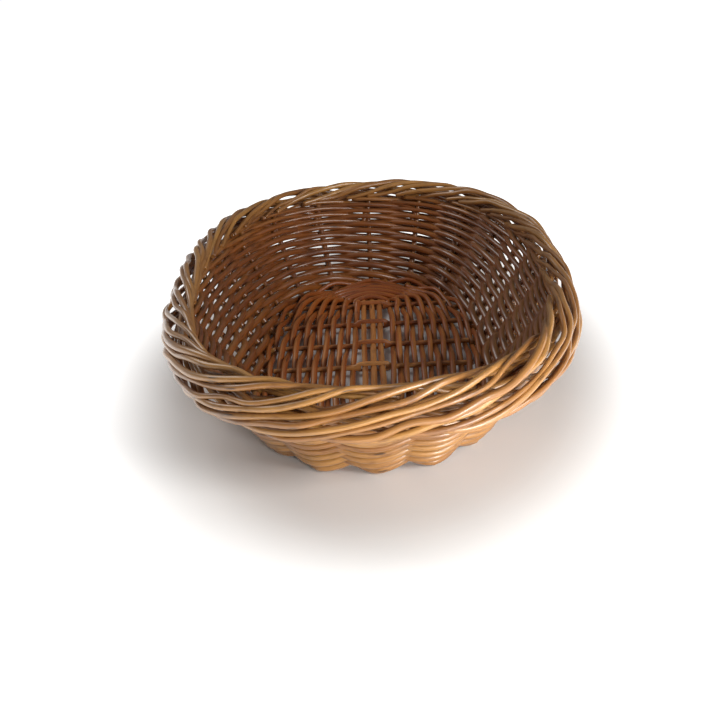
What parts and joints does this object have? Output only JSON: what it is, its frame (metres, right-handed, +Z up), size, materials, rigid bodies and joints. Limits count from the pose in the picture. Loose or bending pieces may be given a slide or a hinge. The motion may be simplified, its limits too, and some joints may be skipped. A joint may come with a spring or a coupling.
{
  "type": "woven basket",
  "caption": "Oval open basket of woven willow rods: flat woven base, flared woven sides and a thick wrapped border, for bread, fruit or small household things.",
  "frame": {"origin": "middle of the basket on the surface that it stands on", "axes": "+Z up out of the open top, +Y along the basket's length, +X across it"},
  "size_m": [0.2396, 0.3394, 0.0715],
  "materials": {
    "stake_willow": "varnished honey-brown willow rod, semi-gloss",
    "weaver_willow": "varnished golden to reddish-brown willow rod, semi-gloss",
    "base_willow": "varnished brown willow rod, satin",
    "stick_willow": "thick brown willow stick, pale cut ends, satin"
  },
  "bodies": {
    "root": {"base_weaver_1": "base_willow", "base_weaver_2": "base_willow", "foot_round_inner": "base_willow", "foot_round_outer": "base_willow", "long_stick_1": "stick_willow", "long_stick_2": "stick_willow", "long_stick_3": "stick_willow", "short_stick_1": "stick_willow", "short_stick_2": "stick_willow", "short_stick_3": "stick_willow", "short_stick_4": "stick_willow", "short_stick_5": "stick_willow", "short_stick_6": "stick_willow", "stake_01": "stake_willow", "stake_02": "stake_willow", "stake_03": "stake_willow", "stake_04": "stake_willow", "stake_05": "stake_willow", "stake_06": "stake_willow", "stake_07": "stake_willow", "stake_08": "stake_willow", "stake_09": "stake_willow", "stake_10": "stake_willow", "stake_11": "stake_willow", "stake_12": "stake_willow", "stake_13": "stake_willow", "stake_14": "stake_willow", "stake_15": "stake_willow", "stake_16": "stake_willow", "stake_17": "stake_willow", "stake_18": "stake_willow", "stake_19": "stake_willow", "stake_20": "stake_willow", "stake_21": "stake_willow", "stake_22": "stake_willow", "weaver_01": "weaver_willow", "weaver_02": "weaver_willow", "weaver_03": "weaver_willow", "weaver_04": "weaver_willow", "weaver_05": "weaver_willow", "weaver_06": "weaver_willow", "weaver_07": "weaver_willow", "weaver_08": "weaver_willow", "weaver_09": "weaver_willow", "weaver_10": "weaver_willow", "weaver_11": "weaver_willow", "weaver_12": "weaver_willow", "weaver_13": "weaver_willow", "weaver_14": "weaver_willow", "weaver_15": "weaver_willow", "weaver_16": "weaver_willow", "weaver_17": "weaver_willow", "weaver_18": "weaver_willow", "weaver_19": "weaver_willow", "weaver_20": "weaver_willow", "weaver_21": "weaver_willow", "weaver_22": "weaver_willow"}
  },
  "joints": []
}
